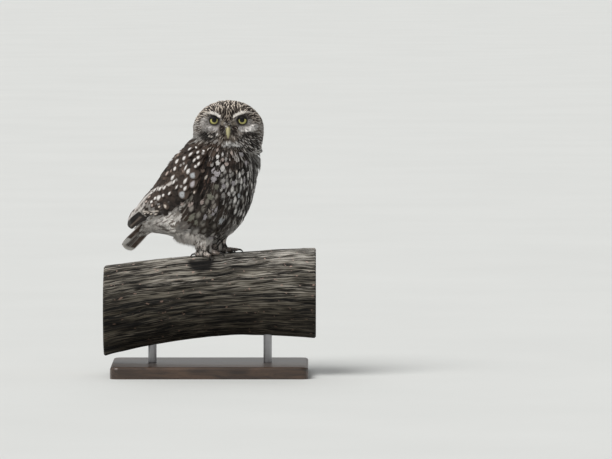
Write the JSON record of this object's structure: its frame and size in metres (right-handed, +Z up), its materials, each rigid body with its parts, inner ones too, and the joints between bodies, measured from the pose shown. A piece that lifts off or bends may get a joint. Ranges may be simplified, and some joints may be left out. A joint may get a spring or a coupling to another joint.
{
  "type": "little owl museum model",
  "caption": "Life-size still model of a little owl standing on a cut length of branch, its head turned to one side, held by a plain display stand.",
  "frame": {"origin": "on the floor under the middle of the display stand", "axes": "+Z up; +X along the branch, to the right of the viewer the owl looks at; +Y away from that viewer. The owl's body heads between +X and -Y and its face looks along -Y"},
  "size_m": [0.25, 0.168, 0.324],
  "materials": {
    "plumage_pale": "soft feathers, pale with dark streaks",
    "plumage_brown": "soft feathers, dark brown with white spots",
    "leg_down": "short pale down",
    "eye_yellow": "wet gloss, yellow iris round a black pupil",
    "bill_horn": "satin horn",
    "claw_horn": "satin dark horn",
    "branch_wood": "weathered bare wood with cracks along the grain",
    "stand_wood": "dark satin varnish",
    "stand_steel": "brushed"
  },
  "bodies": {
    "root": {"head": "plumage_brown", "neck": "plumage_pale", "torso": "plumage_pale", "wing_right": "plumage_brown", "wing_left": "plumage_brown", "tail": "plumage_brown", "leg_right": "leg_down", "leg_left": "leg_down", "foot_right": "leg_down", "foot_left": "leg_down", "claw_right_inner": "claw_horn", "claw_right_middle": "claw_horn", "claw_right_outer": "claw_horn", "claw_right_hind": "claw_horn", "claw_left_inner": "claw_horn", "claw_left_middle": "claw_horn", "claw_left_outer": "claw_horn", "claw_left_hind": "claw_horn", "bill_upper": "bill_horn", "bill_lower": "bill_horn", "eye_right": "eye_yellow", "eye_left": "eye_yellow", "perch_branch": "branch_wood", "stand_base": "stand_wood", "stand_rod_left": "stand_steel", "stand_rod_right": "stand_steel"}
  },
  "joints": []
}
